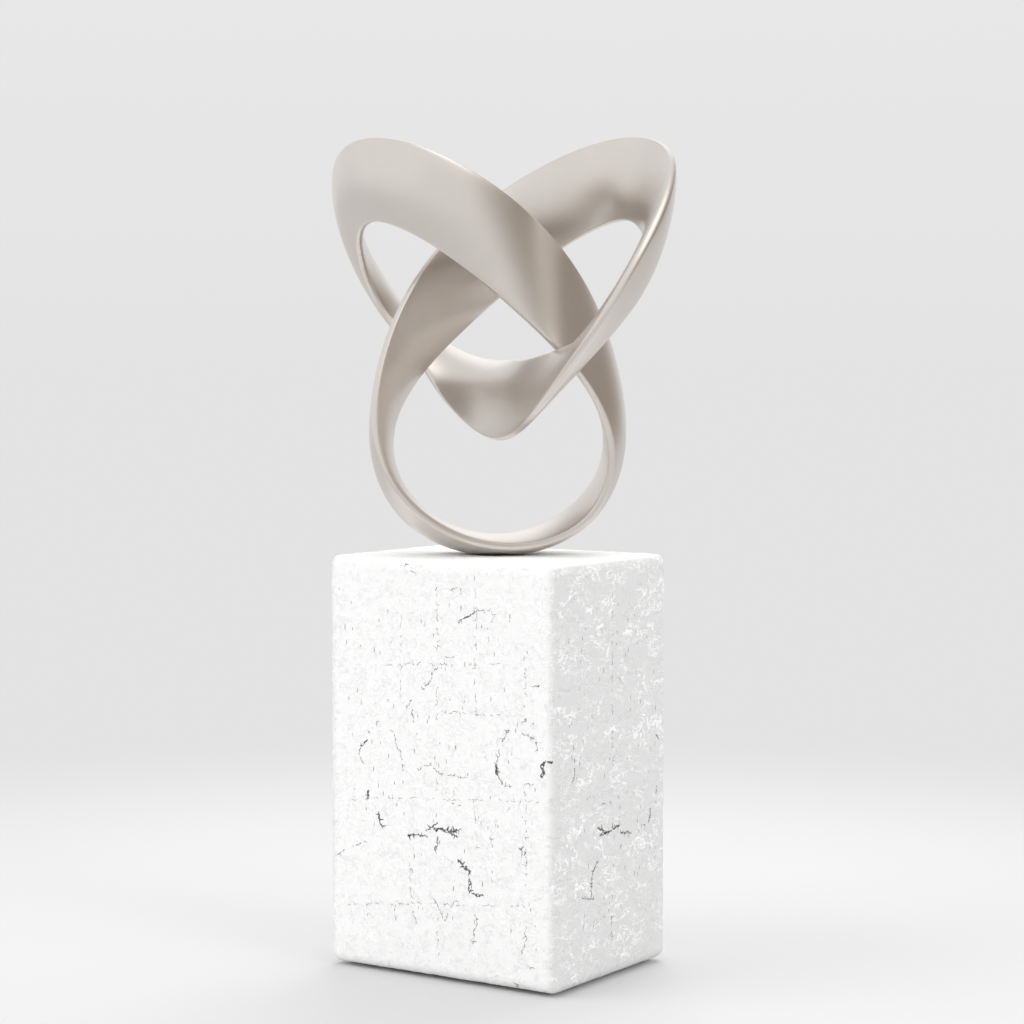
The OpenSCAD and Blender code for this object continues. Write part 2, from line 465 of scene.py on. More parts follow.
def finished_piece(name: str, bm: bmesh.types.BMesh, finish: Finish, slot: Slot,
                   replaced: Iterable[str] = ()) -> bpy.types.Object:
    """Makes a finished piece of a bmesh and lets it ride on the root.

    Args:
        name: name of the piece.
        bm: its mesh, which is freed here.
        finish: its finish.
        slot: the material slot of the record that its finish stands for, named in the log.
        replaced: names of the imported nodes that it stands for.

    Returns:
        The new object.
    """
    piece = new_object(name, bm)
    piece.data.materials.append(finish.material())
    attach(piece, "root")
    for node in replaced:
        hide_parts(node)
    triangles = sum(len(polygon.vertices) - 2 for polygon in piece.data.polygons)
    LOG.info("%s: %d triangles, finish %s", name, triangles, slot.value)
    return piece


@dataclass(frozen=True)
class Bore:
    """A round upright hole in a piece."""

    across: float
    low: float
    high: float
    back: float = 0.0
    facets: int = 48
    merge_span: float = 0.01 * MM

    def cut(self, piece: bpy.types.Object) -> None:
        """Cuts the hole into a piece.

        Args:
            piece: the piece, whose mesh is replaced.
        """
        bm = bmesh.new()
        bmesh.ops.create_cone(bm, cap_ends=True, segments=self.facets,
                              radius1=self.across / 2, radius2=self.across / 2,
                              depth=self.high - self.low)
        bmesh.ops.translate(bm, verts=bm.verts,
                            vec=(0, self.back, (self.low + self.high) / 2))
        drill = new_object("drill", bm)
        cutter = piece.modifiers.new("bore", "BOOLEAN")
        cutter.operation = "DIFFERENCE"
        cutter.solver = "MANIFOLD"
        cutter.object = drill
        graph = bpy.context.evaluated_depsgraph_get()
        bored = bpy.data.meshes.new_from_object(piece.evaluated_get(graph))
        piece.modifiers.clear()
        bm = bmesh.new()
        bm.from_mesh(bored)
        bmesh.ops.triangulate(bm, faces=[face for face in bm.faces if len(face.verts) > 4])
        bmesh.ops.remove_doubles(bm, verts=bm.verts, dist=self.merge_span)
        bmesh.ops.dissolve_degenerate(bm, edges=bm.edges, dist=self.merge_span)
        bm.to_mesh(bored)
        bm.free()
        whole = piece.data
        piece.data = bored
        bored.name = piece.name
        bpy.data.meshes.remove(whole)
        bpy.data.meshes.remove(drill.data)


def sign_power(x: float, power: float) -> float:
    """Gives x to a power with its sign kept."""
    return math.copysign(abs(x) ** power, x)


@dataclass
class KnotBand:
    """The cast band of the knot, from its path, its turn and its lens-shaped section.

    Its sizes are in millimetres. A landmark is an angle on the way round and the turn there.
    """

    seat_top: float
    lobe_r: float = 68.0
    core_r: float = 30.5
    shoulder_r: float = 4.5
    side_r: float = 1.2
    weave_depth: float = 34.0
    ripple_depth: float = 3.0
    band_w: float = 40.0
    band_t: float = 11.0
    rim_t: float = 4.5
    seat_cut: float = 1.6
    rod_bore: float = 6.1
    pin_bore: float = 3.1
    pin_offset: float = 8.5
    bore_depth: float = 6.6
    rim_crowding: float = 0.8
    rim_squareness: float = 0.25
    sections: int = 640
    section_points: int = 64
    merge_span: float = 1e-4
    overrun: float = 1.0
    shoulder_sharpness: float = 30.0
    left_shoulder_angle: float = -16.0
    left_shoulder_shares: Place = (0.13, 0.0, 0.085)
    right_shoulder_angle: float = 14.0
    right_shoulder_shares: Place = (-0.09, 0.0, -0.045)
    bowl: Landmark = (2.0, 250.0)
    right_lobe_entry: Landmark = (41.0, 198.0)
    right_lobe_exit: Landmark = (79.0, 276.0)
    ring_entry: Landmark = (161.0, 143.0)
    ring_exit: Landmark = (199.0, 215.0)
    left_lobe_entry: Landmark = (281.0, 87.0)
    left_lobe_exit: Landmark = (327.0, 171.0)
    finish: Finish = SATIN_METAL

    def near(self, angle: float, centre: float) -> float:
        """How strongly a shoulder's shift acts at an angle on the way round."""
        return ((1 + math.cos(math.radians(angle - centre))) / 2) ** self.shoulder_sharpness

    def path(self, angle: float) -> Vector:
        """Place on the band's path.

        Args:
            angle: the angle on the way round, in degrees.

        Returns:
            The place in millimetres, seen from the knot's middle.
        """
        t = math.radians(angle)
        place = Vector((
            self.core_r * math.sin(t) + self.lobe_r * math.sin(2 * t)
            - self.side_r * math.sin(4 * t) - self.shoulder_r * math.sin(5 * t),
            self.ripple_depth * math.sin(6 * t) - self.weave_depth * math.sin(3 * t),
            self.core_r * math.cos(t) - self.lobe_r * math.cos(2 * t)
            - self.side_r * math.cos(4 * t) + self.shoulder_r * math.cos(5 * t)))
        left = self.lobe_r * self.near(angle, self.left_shoulder_angle)
        right = self.lobe_r * self.near(angle, self.right_shoulder_angle)
        return (place + left * Vector(self.left_shoulder_shares)
                + right * Vector(self.right_shoulder_shares))

    def turn(self, angle: float) -> float:
        """Turn of the band about its path, eased from landmark to landmark.

        Args:
            angle: the angle on the way round, in degrees.

        Returns:
            The turn in degrees.
        """
        marks = [self.bowl, self.right_lobe_entry, self.right_lobe_exit, self.ring_entry,
                 self.ring_exit, self.left_lobe_entry, self.left_lobe_exit,
                 (self.bowl[0] + 360.0, self.bowl[1])]
        if angle < marks[0][0]:
            angle += 360.0
        before, after = next((a, b) for a, b in zip(marks, marks[1:])
                             if a[0] <= angle <= b[0])
        share = (angle - before[0]) / (after[0] - before[0])
        return before[1] + (after[1] - before[1]) * (1 - math.cos(math.pi * share)) / 2

    def directions(self, angle: float) -> tuple[Vector, Vector]:
        """Directions of the band's width and thickness.

        Args:
            angle: the angle on the way round, in degrees.

        Returns:
            The unit vectors across the width and through the thickness.
        """
        step = 360.0 / self.sections
        way = (self.path(angle + step) - self.path(angle - step)).normalized()
        back = (Vector((0, 1, 0)) - way * way.y).normalized()
        turn = math.radians(self.turn(angle))
        wide = math.cos(turn) * back + math.sin(turn) * way.cross(back)
        return wide, way.cross(wide)

    def section_point(self, angle: float) -> tuple[float, float]:
        """Point of the lens with blunt rims, across the width and through the thickness."""
        a = math.radians(angle)
        across = sign_power(math.cos(a), self.rim_crowding)
        half = (self.rim_t + (self.band_t - self.rim_t) * (1 - across ** 2)) / 2
        return across * self.band_w / 2, half * sign_power(math.sin(a), self.rim_squareness)

    def skin(self) -> bmesh.types.BMesh:
        """Rolls a grid round the path into the closed skin of the band.

        Returns:
            The skin in millimetres, seen from the knot's middle.
        """
        bm = bmesh.new()
        bmesh.ops.create_grid(bm, x_segments=self.sections, y_segments=self.section_points,
                              size=0.5)
        lens = {}
        frames = {}
        for vert in bm.verts:
            i = round((vert.co.x + 0.5) * self.sections) % self.sections
            j = round((vert.co.y + 0.5) * self.section_points) % self.section_points
            if i not in frames:
                angle = 360.0 * i / self.sections
                frames[i] = (self.path(angle), *self.directions(angle))
            if j not in lens:
                lens[j] = self.section_point(360.0 * j / self.section_points)
            middle, wide, thick = frames[i]
            vert.co = middle + lens[j][0] * wide + lens[j][1] * thick
        bmesh.ops.remove_doubles(bm, verts=bm.verts, dist=self.merge_span)
        return bm

    def build(self) -> bpy.types.Object:
        """Builds the band on its seat and dresses it.

        Returns:
            The finished piece.
        """
        bm = self.skin()
        low = min(vert.co.z for vert in bm.verts)
        lift = self.seat_top / MM - self.seat_cut - low
        bmesh.ops.translate(bm, verts=bm.verts, vec=(0, 0, lift))
        bmesh.ops.scale(bm, verts=bm.verts, vec=(MM, MM, MM))
        cut = bmesh.ops.bisect_plane(bm, geom=bm.verts[:] + bm.edges[:] + bm.faces[:],
                                     plane_co=(0, 0, self.seat_top), plane_no=(0, 0, 1),
                                     clear_inner=True)
        rim = [e for e in cut["geom_cut"] if isinstance(e, bmesh.types.BMEdge)]
        bmesh.ops.edgeloop_fill(bm, edges=rim)
        bmesh.ops.recalc_face_normals(bm, faces=bm.faces)
        for face in bm.faces:
            face.smooth = True
        for edge in rim:
            edge.smooth = False
        band = finished_piece("knot_band_cast", bm, self.finish, Slot.METAL, ["knot_band"])
        low = self.seat_top - self.overrun * MM
        high = self.seat_top + self.bore_depth * MM
        for across, back in ((self.rod_bore, 0.0), (self.pin_bore, self.pin_offset)):
            Bore(across * MM, low, high, back * MM).cut(band)
        return band


@dataclass
class StoneBlock:
    """The upright block, with eased edges and a rough skin."""

    low: Vector
    high: Vector
    edge_r: float = 5.0 * MM
    edge_segments: int = 5
    long_edge: float = 20.0 * MM
    grid_step: float = 1.2 * MM
    wave_depth: float = 0.15 * MM
    wave_pitch: float = 28.0 * MM
    crust_depth: float = 0.14 * MM
    crust_pitch: float = 4.0 * MM
    crust_layers: tuple[float, float, int] = (0.6, 2.0, 3)
    crust_lift: float = 0.5
    ridge_depth: float = 0.12 * MM
    ridge_pitch: float = 9.0 * MM
    ridge_gain: float = 3.0
    bend_pitch: float = 7.0 * MM
    bend_share: float = 0.6
    bend_shifts: tuple[Vector, ...] = (Vector((0, 0, 0)), Vector((31.4, 7.7, 2.9)),
                                       Vector((5.3, 47.1, 11.6)))
    rod_hole: float = 7.0 * MM
    recess_across: float = 30.0 * MM
    recess_depth: float = 25.0 * MM
    pin_hole: float = 3.1 * MM
    pin_hole_depth: float = 8.4 * MM
    pin_offset: float = 8.5 * MM
    overrun: float = 1.0 * MM
    finish: Finish = WhiteStone()
    skin: Optional[BVHTree] = None

    def blank(self) -> bmesh.types.BMesh:
        """Makes the block with rounded edges and a fine square grid on its faces.

        Returns:
            The blank, in place.
        """
        bm = bmesh.new()
        size = self.high - self.low
        bmesh.ops.create_cube(bm, size=1.0)
        bmesh.ops.scale(bm, vec=size, verts=bm.verts)
        bmesh.ops.translate(bm, vec=(self.high + self.low) / 2, verts=bm.verts)
        bmesh.ops.bevel(bm, geom=bm.edges[:], offset=self.edge_r, offset_type="OFFSET",
                        segments=self.edge_segments, profile=0.5, affect="EDGES",
                        material=-1)
        for axis in range(3):
            long_edges = [e for e in bm.edges
                          if abs(e.verts[0].co[axis] - e.verts[1].co[axis]) > self.long_edge]
            length = size[axis] - 2 * self.edge_r
            bmesh.ops.subdivide_edges(bm, edges=long_edges,
                                      cuts=round(length / self.grid_step) - 1,
                                      use_grid_fill=True)
        return bm

    def roughen(self, bm: bmesh.types.BMesh) -> None:
        """Sinks the skin unevenly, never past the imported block's faces.

        Args:
            bm: the blank, changed in place.
        """
        bm.normal_update()
        moves = []
        for vert in bm.verts:
            wave = noise.noise(vert.co / self.wave_pitch) * 0.5 + 0.5
            crust = noise.fractal(vert.co / self.crust_pitch, *self.crust_layers)
            at = vert.co / self.bend_pitch
            bend = Vector([noise.noise(at + shift) for shift in self.bend_shifts])
            ridge = abs(noise.noise(vert.co / self.ridge_pitch + bend * self.bend_share))
            sink = (self.wave_depth * wave
                    + self.crust_depth * max(0.0, crust + self.crust_lift)
                    + self.ridge_depth * min(1.0, self.ridge_gain * ridge))
            moves.append(vert.normal * -sink)
        for vert, move in zip(bm.verts, moves):
            vert.co += move

    def build(self) -> bpy.types.Object:
        """Builds the block and dresses it.

        Returns:
            The finished piece.
        """
        bm = self.blank()
        self.roughen(bm)
        bmesh.ops.recalc_face_normals(bm, faces=bm.faces)
        for face in bm.faces:
            face.smooth = True
        self.skin = BVHTree.FromBMesh(bm)
        stone = finished_piece("plinth_block_stone", bm, self.finish, Slot.STONE,
                               ["plinth_block"])
        low, high = self.low.z - self.overrun, self.high.z + self.overrun
        for bore in (Bore(self.rod_hole, low, high),
                     Bore(self.recess_across, low, self.low.z + self.recess_depth),
                     Bore(self.pin_hole, self.high.z - self.pin_hole_depth, high,
                          self.pin_offset)):
            bore.cut(stone)
        return stone


# Broken cracks that the picture shows on the block: for each run its width, as a share of the
# full one, and the pixels that it passes
RUNS: dict[Face, tuple[tuple[float, tuple[Pixel, ...]], ...]] = {
    Face.FRONT: (
        (0.35, ((403.8, 562), (408.8, 565.5), (413.8, 572.5), (416.8, 575.8))),
        (0.30, ((337.5, 588.8), (340.5, 591.3), (344.5, 595))),
        (0.55, ((455, 627), (457.5, 622), (465, 618), (475, 612.5))),
        (0.30, ((475, 612.5), (485, 608.8), (490.5, 610), (494.5, 615.5), (490.5, 627.5))),
        (0.30, ((447.5, 592), (453.8, 588.8), (461.3, 588))),
        (0.25, ((436.5, 580), (436, 600), (437, 625), (436.5, 652))),
        (0.40, ((457.5, 656.3), (441.3, 657.5), (437.5, 665), (432.5, 672.5), (430, 678.8),
                (425, 685), (421.3, 692.5))),
        (0.50, ((411.3, 700), (406.3, 707.5), (411.3, 710), (413.8, 722.5))),
        (0.25, ((413.8, 722.5), (415, 730), (417.5, 737.5))),
        (0.30, ((361.3, 667.5), (365, 678.8), (370, 668.8))),
        (0.45, ((381.3, 720.8), (372.5, 725), (370.5, 731.3), (367, 740))),
        (0.75, ((367, 740), (363.5, 744), (360, 746.3))),
        (0.40, ((360, 746.3), (359, 752), (360, 757.5), (366.3, 766.3))),
        (0.35, ((386.3, 727.5), (391.3, 731.3), (396.3, 742.5), (401.3, 757.5), (402, 771.3))),
        (0.35, ((417.5, 771), (421.3, 766), (430, 766), (438.8, 772.5), (447.5, 773.8),
                (465, 778))),
        (0.40, ((510, 730), (501.3, 741.3), (498.8, 755), (496.3, 765))),
        (0.95, ((496.3, 765), (495.6, 770), (497.5, 776))),
        (0.50, ((497.5, 776), (499.5, 780), (503, 785.5))),
        (0.30, ((503, 785.5), (511.3, 786.3), (525, 785), (537.5, 785))),
        (0.40, ((521.3, 732.5), (530, 736.3), (536.3, 743.8), (537.5, 755))),
        (1.05, ((552.5, 761.8), (546.3, 762), (542, 765), (543.8, 771.3), (540.5, 777.5))),
        (0.60, ((521.3, 722.5), (525, 720), (526.3, 716.3))),
        (0.50, ((530, 686.3), (535, 686.3), (545, 685))),
        (0.22, ((441, 713), (455, 712.5), (485, 715), (507.5, 716))),
        (0.22, ((475, 577), (475.5, 620), (475, 665), (475.5, 715))),
        (0.20, ((525, 664), (525.5, 690), (525, 712))),
        (0.80, ((368, 791), (367.5, 799))),
        (0.90, ((378.8, 812.5), (380, 821), (382.5, 828.8))),
        (0.80, ((407.5, 836), (415, 835), (421, 836), (427.5, 837.5))),
        (0.75, ((425, 830.8), (430, 827.5), (437.5, 823))),
        (1.15, ((432.5, 828.8), (438.8, 828.8), (445, 831), (450, 832.5), (455, 831),
                (461, 829.5))),
        (0.60, ((451, 833.8), (457.5, 838))),
        (0.60, ((437.5, 836), (437, 846), (433.8, 851))),
        (1.10, ((457.5, 858.8), (462.5, 866), (468.8, 871), (470.5, 875))),
        (0.80, ((469.5, 880), (469.5, 890), (472.5, 895), (478.8, 894.5), (483.8, 896))),
        (0.40, ((336, 856), (343.8, 850), (350, 847.5), (362.5, 842), (370, 841))),
        (0.40, ((446, 801), (455, 805), (460, 806))),
        (0.40, ((490, 835), (491, 842), (492, 850))),
        (0.55, ((519, 849), (525, 853.8))),
        (0.35, ((511, 802.5), (507.5, 811))),
        (0.22, ((409, 862), (410, 882.5), (411, 897.5))),
        (0.30, ((433.8, 898.8), (438.8, 908.8), (442.5, 920), (446, 920), (448.8, 910),
                (456, 900), (460, 897))),
        (0.25, ((437.5, 917.5), (437.5, 940), (438, 955))),
        (0.45, ((475, 913.8), (476, 925), (473.8, 933.8), (470, 950))),
        (0.40, ((525, 920), (525.5, 940), (521, 955))),
        (0.40, ((525, 965), (530, 966), (535, 968.8))),
        (0.80, ((515, 989), (518.8, 984))),
        (0.30, ((340, 905), (345, 917.5))),
        (0.28, ((366, 903), (370, 916))),
        (0.28, ((395, 903), (395.5, 922))),
        (0.28, ((412, 910), (417, 924))),
        (0.20, ((400, 600), (401, 640), (400, 700))),
        (0.20, ((385, 665), (420, 664), (455, 665), (500, 664))),
        (0.20, ((345, 800), (400, 798), (470, 800), (540, 802))),
        (0.20, ((436, 690), (436.5, 730), (436, 790))),
        (0.20, ((525, 790), (526, 850), (525, 905))),
        (0.20, ((475, 800), (476, 850))),
        (0.20, ((345, 905), (400, 903), (470, 905), (535, 907))),
    ),
    Face.RIGHT: (
        (0.95, ((598, 828), (606.7, 832.7), (611.7, 830), (620, 825))),
        (0.70, ((600, 836.7), (606.7, 831.7))),
        (0.60, ((621, 833), (632, 832.7))),
        (0.70, ((599, 860.7), (593.3, 871.7), (592.3, 883), (591, 896.7))),
        (0.50, ((581.7, 898), (588.3, 899.3), (605, 901.7))),
        (0.45, ((575, 758), (575, 776.7), (571.7, 786.7))),
        (0.60, ((657, 733), (659, 740.7))),
        (0.50, ((656, 785), (657, 795))),
        (0.60, ((651, 808), (649, 823))),
        (0.35, ((638, 825), (645.7, 825))),
        (0.30, ((601, 621.7), (602.3, 633))),
        (0.30, ((616.7, 673), (621.7, 683))),
        (0.30, ((612.7, 906.7), (611.7, 926.7), (612.7, 953))),
        (0.40, ((600, 805), (606, 803), (611.7, 803))),
        (0.20, ((613, 590), (613, 650), (612.5, 720), (613, 790))),
    ),
}


@dataclass
class FaceCracks:
    """Thin dark slivers of painted shade, with paler dust, that lie in the cracks of one face
    of the block.

    The spans of its branches and specks are in millimetres.
    """

    face: Face
    block: StoneBlock
    draw: random.Random
    view: Viewpoint = field(default_factory=Viewpoint)
    step: float = 0.55 * MM
    waver: float = 0.55 * MM
    drift_kept: float = 0.6
    proud: float = 0.04 * MM
    sunk: float = 0.5 * MM
    full_width: float = 1.25 * MM
    unevenness: Span = (0.15, 1.0)
    end_share: float = 0.3
    kept_share: float = 0.72
    kept_start: float = 0.5
    kept_most: float = 0.95
    length_span: tuple[int, int] = (2, 3)
    length_gain: float = 4.0
    branch_share: float = 0.3
    branch_lean: Span = (-0.4, 0.6)
    branch_reach: Span = (1.0, 2.6)
    branch_root: float = 0.7
    branch_middle: Span = (0.3, 0.6)
    branch_tip: float = 0.15
    far_runs: int = 16
    far_widths: tuple[float, ...] = (0.2, 0.25, 0.3, 0.35, 0.5)
    far_marks_count: tuple[int, int] = (4, 12)
    walk_step: float = 5.0 * MM
    walk_turn: float = 1.0
    start_margin: float = 20.0 * MM
    walk_margin: float = 10.0 * MM
    specks: int = 110
    speck_reach: Span = (0.4, 1.4)
    speck_width: Span = (0.15, 0.4)
    speck_ends: float = 0.1 * MM

    def __post_init__(self) -> None:
        """Starts an empty mesh and notes how the face lies."""
        self.bm = bmesh.new()
        self.normal = Vector((*self.face.value, 0))
        self.side = self.normal.cross(Vector((0, 0, 1)))
        self.corner = self.block.high if sum(self.face.value) > 0 else self.block.low

    def on_face(self, pixel: Pixel) -> Vector:
        """Place on the face's plane that a pixel of the picture shows."""
        start = Vector(self.view.place)
        way = self.view.ray(pixel)
        return start + way * ((self.corner - start).dot(self.normal) / way.dot(self.normal))

    def line(self, marks: Sequence[Vector]) -> list[Vector]:
        """Draws a wavering line through marks on the face.

        Args:
            marks: places on the face that the line passes.

        Returns:
            Points of the line, one every step.
        """
        points = []
        drift = Vector((0, 0))
        for start, end in zip(marks, marks[1:]):
            count = max(2, round((end - start).length / self.step))
            for k in range(count):
                pull = Vector((self.draw.uniform(-1, 1), self.draw.uniform(-1, 1)))
                drift = drift * self.drift_kept + pull * self.waver
                points.append(start.lerp(end, k / count) + self.side * drift.x
                              + Vector((0, 0, drift.y)))
        points.append(marks[-1])
        return points

    def sliver(self, points: Sequence[Vector], widths: Sequence[float]) -> None:
        """Adds the upper side of one sliver along a line, laid on the skin.

        Args:
            points: points of its middle line, near the face.
            widths: its width at each point.
        """
        last = len(points) - 1
        grid = bmesh.ops.create_grid(self.bm, x_segments=last, y_segments=1, size=0.5)
        for vert in grid["verts"]:
            k = round((vert.co.x + 0.5) * last)
            way = points[min(k + 1, last)] - points[max(k - 1, 0)]
            side = self.normal.cross(way).normalized()
            edge = points[k] + side * math.copysign(widths[k] / 2, vert.co.y)
            hit = self.block.skin.ray_cast(edge + self.normal * self.block.edge_r,
                                           -self.normal)[0]
            vert.co = (hit if hit is not None else edge) + self.normal * self.proud

    def fragments(self, share: float, marks: Sequence[Vector]) -> None:
        """Breaks the drawn lines of a run into fragments of uneven width and adds them.

        Args:
            share: width of the run, as a share of the full one.
            marks: places on the face that the run passes.
        """
        kept = min(self.kept_most, self.kept_share * (self.kept_start + share))
        full = self.full_width * share
        least, most = self.length_span
        for _ in range(1 + round(share)):
            points = self.line(marks)
            k = 0
            while k < len(points) - 2:
                length = self.draw.randint(least, most + round(self.length_gain * share))
                part = points[k:k + length + 1]
                if self.draw.random() < kept and len(part) > 2:
                    widths = [full * self.draw.uniform(*self.unevenness) for _ in part]
                    widths[0] *= self.end_share
                    widths[-1] *= self.end_share
                    self.sliver(part, widths)
                    if self.draw.random() < self.branch_share:
                        self.branch(part, full)
                k += length

    def branch(self, part: Sequence[Vector], full: float) -> None:
        """Adds a short crack that leaves a fragment sideways.

        Args:
            part: points of the fragment.
            full: the fragment's full width.
        """
        way = part[-1] - part[0]
        side = self.normal.cross(way) * self.draw.choice((-1, 1))
        aim = (way * self.draw.uniform(*self.branch_lean) + side).normalized()
        aim = aim * self.draw.uniform(*self.branch_reach) * MM
        start = part[len(part) // 2]
        self.sliver([start, start + aim / 2, start + aim],
                    [full * self.branch_root, full * self.draw.uniform(*self.branch_middle),
                     full * self.branch_tip])

    def far_marks(self) -> list[Vector]:
        """Walks at random over the face and gives the places that it passes."""
        low, high = self.block.low, self.block.high
        wide = abs(self.side.x) * (high.x - low.x) + abs(self.side.y) * (high.y - low.y)
        room = wide / 2 - 2 * self.block.edge_r
        across = self.draw.uniform(-room, room)
        height = self.draw.uniform(low.z + self.start_margin, high.z - self.start_margin)
        heading = self.draw.uniform(0, 2 * math.pi)
        middle = (low + high) / 2
        depth = abs((self.corner - middle).dot(self.normal))
        marks = []
        for _ in range(self.draw.randint(*self.far_marks_count)):
            marks.append(Vector((middle.x, middle.y, height)) + self.side * across
                         + self.normal * depth)
            heading += self.draw.uniform(-self.walk_turn, self.walk_turn)
            across = max(-room, min(room, across + self.walk_step * math.cos(heading)))
            height = max(low.z + self.walk_margin,
                         min(high.z - self.walk_margin,
                             height + self.walk_step * math.sin(heading)))
        return marks

    def build(self) -> bpy.types.Mesh:
        """Builds the slivers of the face and closes them towards the inside.

        Returns:
            A mesh of closed slivers.
        """
        for share, pixels in RUNS.get(self.face, ()):
            self.fragments(share, [self.on_face(pixel) for pixel in pixels])
        if self.face not in RUNS:
            for _ in range(self.far_runs):
                share = self.draw.choice(self.far_widths)
                self.fragments(share, self.far_marks())
        # Specks: tiny slivers of the same painted shade and dust, strewn over the face
        for _ in range(self.specks):
            spot = self.far_marks()[0]
            reach = Vector((0, 0, self.draw.uniform(*self.speck_reach) * MM))
            self.sliver([spot - reach, spot, spot + reach],
                        [self.speck_ends, self.draw.uniform(*self.speck_width) * MM,
                         self.speck_ends])
        deep = bmesh.ops.extrude_face_region(self.bm, geom=self.bm.faces[:],
                                             use_keep_orig=True)
        bmesh.ops.translate(self.bm, vec=self.normal * -(self.proud + self.sunk),
                            verts=[v for v in deep["geom"]
                                   if isinstance(v, bmesh.types.BMVert)])
        layer = bpy.data.meshes.new("slivers")
        self.bm.to_mesh(layer)
        self.bm.free()
        return layer


@dataclass
class StoneCracks:
    """The cracks of all four upright faces, painted shade and dust as one piece."""

    block: StoneBlock
    seed: int = 7
    finish: Finish = CRACK_SHADE_AND_DUST

    def build(self) -> bpy.types.Object:
        """Builds the slivers of every face and dresses them.

        Returns:
            The finished piece.
        """
        draw = random.Random(self.seed)
        whole = bmesh.new()
        for face in Face:
            layer = FaceCracks(face, self.block, draw).build()
            whole.from_mesh(layer)
            bpy.data.meshes.remove(layer)
        bmesh.ops.recalc_face_normals(whole, faces=whole.faces)
        return finished_piece("plinth_crack_shade_and_dust", whole, self.finish, Slot.STONE)


@dataclass
class Fixings:
    """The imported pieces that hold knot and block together, kept in shape and dressed."""

    finishes: dict[str, Finish] = field(default_factory=lambda: {
        "seat_gasket": DARK_RUBBER,
        "fixing_rod": ZINC_STEEL,
        "locating_pin": ZINC_STEEL,
        "load_washer": ZINC_STEEL,
        "spring_washer": ZINC_STEEL,
        "clamp_nut": ZINC_STEEL,
        "felt_base": GREY_FELT,
    })

    def dress(self) -> None:
        """Gives every kept node its finish."""
        for name, finish in self.finishes.items():
            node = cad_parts[name]
            for slot in node.material_slots:
                slot.material = finish.material()
            LOG.info("%s: packed shape, finish %s", name, finish.name)


# --- Studio ---

@dataclass(frozen=True)
class Lamp:
    """A soft lamp: a square panel that faces a target."""

    name: str
    place: Place
    size: float
    power: float
    target: Place = (0.0, 0.0, 0.25)

    def hang(self) -> None:
        """Adds the lamp to the scene."""
        light = bpy.data.lights.new(self.name, "AREA")
        light.shape = "SQUARE"
        light.size = self.size
        light.energy = self.power
        lamp = bpy.data.objects.new(self.name, light)
        lamp.location = self.place
        way = Vector(self.target) - Vector(self.place)
        lamp.rotation_euler = way.to_track_quat("-Z", "Y").to_euler()
        lamp.visible_glossy = False
        bpy.context.scene.collection.objects.link(lamp)


@dataclass(frozen=True)
class Window:
    """A soft field among what the metal mirrors, where it differs from the rest."""

    way: Place
    edges: Span
    gain: float = 1.0

    def share(self, bench: NodeBench, way: Feed) -> bpy.types.NodeSocket:
        """How strongly the field acts in the direction looked in."""
        towards = bench.vector("DOT_PRODUCT", way, self.way)
        return bench.remap(towards, self.edges, (0.0, self.gain), True)


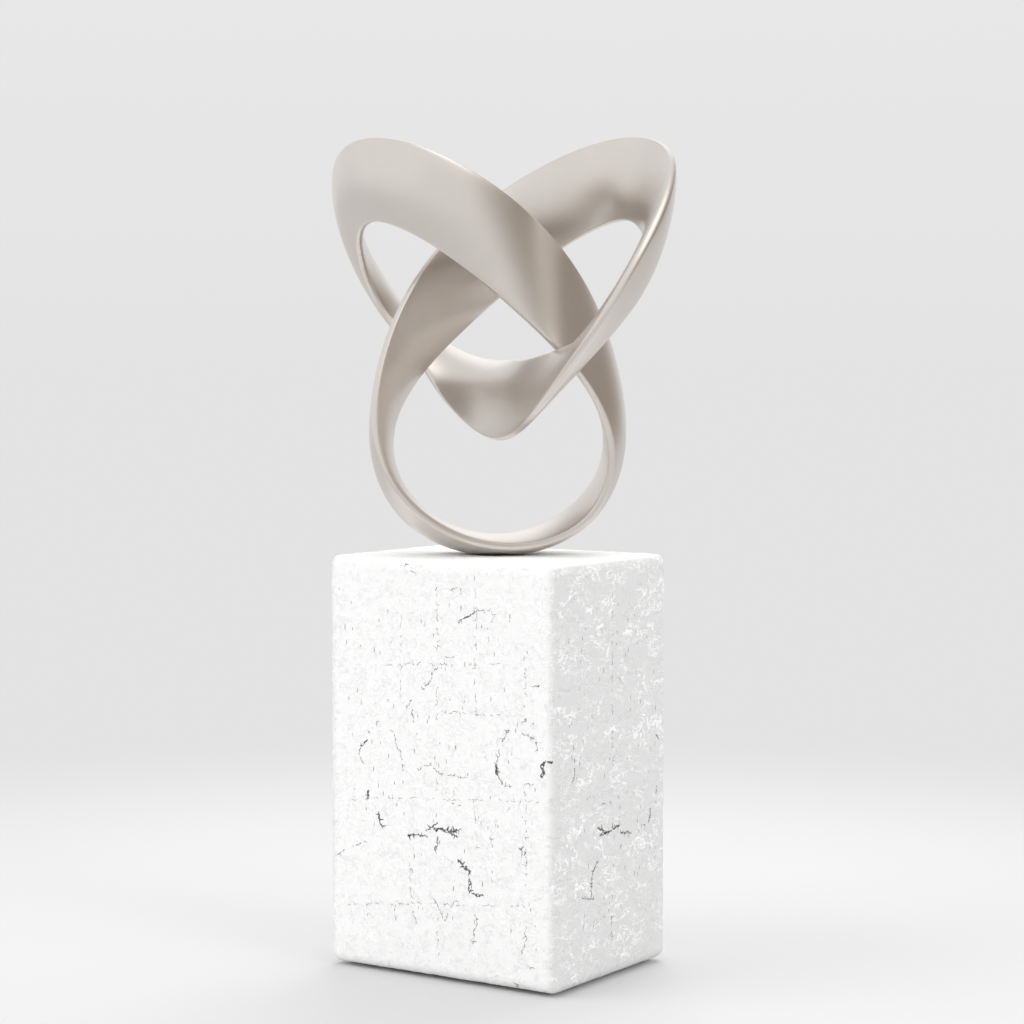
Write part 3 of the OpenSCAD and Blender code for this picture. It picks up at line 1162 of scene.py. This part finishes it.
@dataclass
class Studio:
    """Pale floor and surroundings, soft lamps and the camera."""

    view: Viewpoint = field(default_factory=Viewpoint)
    sight_end: float = 50.0
    floor_r: float = 12.0
    floor_facets: int = 96
    floor_edges: Span = (0.22, 0.80)
    pale_low: Colour = (0.770, 0.770, 0.770)
    pale_high: Colour = (0.805, 0.805, 0.805)
    pale_edges: Span = (0.0, 0.13)
    floor_tone: Colour = (0.63, 0.63, 0.63)
    # Painted reflection: the floor tone that glossy rays see, lighter than the floor tone seen
    # otherwise
    floor_painted_reflection_tone: Colour = (0.73, 0.73, 0.73)
    sky_tone: Colour = (1.0, 1.0, 1.0)
    bright_side: Colour = (0.955, 0.965, 0.97)
    dim_side: Colour = (0.39, 0.345, 0.298)
    dim_field: Window = Window((0.91, 0.41, 0.10), (0.20, 0.78))
    windows: tuple[Window, ...] = (
        Window((-0.43, 0.76, 0.49), (0.92, 0.99), 0.50),
        Window((0.38, -0.18, 0.91), (0.82, 0.95), 1.05),
        Window((-0.62, -0.66, 0.42), (0.60, 0.95), 0.08),
    )
    lamps: tuple[Lamp, ...] = (
        Lamp("lamp_left", (-2.2, -2.4, 1.8), 3.0, 48.0),
        Lamp("lamp_back", (-0.4, 1.5, 2.35), 1.7, 27.0),
        Lamp("lamp_right", (2.4, -0.2, 1.2), 1.5, 16.0),
    )

    def camera(self) -> None:
        """Sets the camera at the photograph's viewing angle."""
        data = bpy.data.cameras.new("camera")
        data.lens = self.view.lens
        data.sensor_width = self.view.sensor_w
        data.clip_end = self.sight_end
        camera = bpy.data.objects.new("camera", data)
        camera.location = self.view.place
        camera.rotation_euler = self.view.turn()
        bpy.context.scene.collection.objects.link(camera)
        bpy.context.scene.camera = camera

    def surroundings(self) -> None:
        """Makes the world: a pale backdrop, soft reflections and an even sky light."""
        world = bpy.data.worlds.new("pale_surroundings")
        world.use_nodes = True
        bench = NodeBench(world.node_tree)
        way = bench.add("ShaderNodeTexCoord").outputs["Generated"]
        height = bench.add("ShaderNodeSeparateXYZ", {"Vector": way}).outputs["Z"]
        pale = bench.blend(bench.remap(height, self.pale_edges), self.pale_low,
                           self.pale_high)
        sides = bench.blend(self.dim_field.share(bench, way), self.bright_side,
                            self.dim_side)
        strength = 1.0
        for window in self.windows:
            strength = bench.math("ADD", window.share(bench, way), strength)
        seen, mirrored, sky = (
            bench.add("ShaderNodeBackground", inlets).outputs["Background"]
            for inlets in ({"Color": pale}, {"Color": sides, "Strength": strength},
                           {"Color": self.sky_tone}))
        path = bench.add("ShaderNodeLightPath")
        unseen = bench.mixed(path.outputs["Is Glossy Ray"], sky, mirrored)
        surface = bench.mixed(path.outputs["Is Camera Ray"], unseen, seen)
        bench.add("ShaderNodeOutputWorld", {"Surface": surface})
        bpy.context.scene.world = world

    def floor(self) -> None:
        """Lays the pale floor, which keeps the shadow near and fades out far away; what the
        metal mirrors of it is painted lighter, a painted reflection.
        """
        bm = bmesh.new()
        bmesh.ops.create_circle(bm, cap_ends=True, segments=self.floor_facets,
                                radius=self.floor_r)
        plate = new_object("floor", bm)
        material = bpy.data.materials.new("pale_floor")
        material.use_nodes = True
        bench = NodeBench(material.node_tree)
        # Painted reflection: glossy rays see the lighter floor tone
        mirrored = bench.add("ShaderNodeLightPath").outputs["Is Glossy Ray"]
        tone = bench.blend(mirrored, self.floor_tone, self.floor_painted_reflection_tone)
        matt = bench.add("ShaderNodeBsdfDiffuse", {"Color": tone}).outputs["BSDF"]
        glow = bench.add("ShaderNodeEmission", {"Color": self.pale_low}).outputs["Emission"]
        place = bench.add("ShaderNodeTexCoord").outputs["Object"]
        share = bench.remap(bench.vector("LENGTH", place), self.floor_edges, smooth=True)
        bench.add("ShaderNodeOutputMaterial", {"Surface": bench.mixed(share, matt, glow)})
        plate.data.materials.append(material)

    def build(self) -> None:
        """Builds camera, surroundings, floor and lamps."""
        bpy.context.scene.view_settings.view_transform = "Standard"
        self.camera()
        self.surroundings()
        self.floor()
        for lamp in self.lamps:
            lamp.hang()


def main() -> None:
    """Builds the sculpture's pieces in order, then the studio."""
    logging.basicConfig(level=logging.INFO, format="%(name)s: %(message)s")
    knot_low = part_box("knot_band")[0]
    KnotBand(seat_top=knot_low[2]).build()
    block_low, block_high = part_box("plinth_block")
    block = StoneBlock(low=Vector(block_low), high=Vector(block_high))
    block.build()
    StoneCracks(block=block).build()
    Fixings().dress()
    Studio().build()


if __name__ == "__main__":
    main()
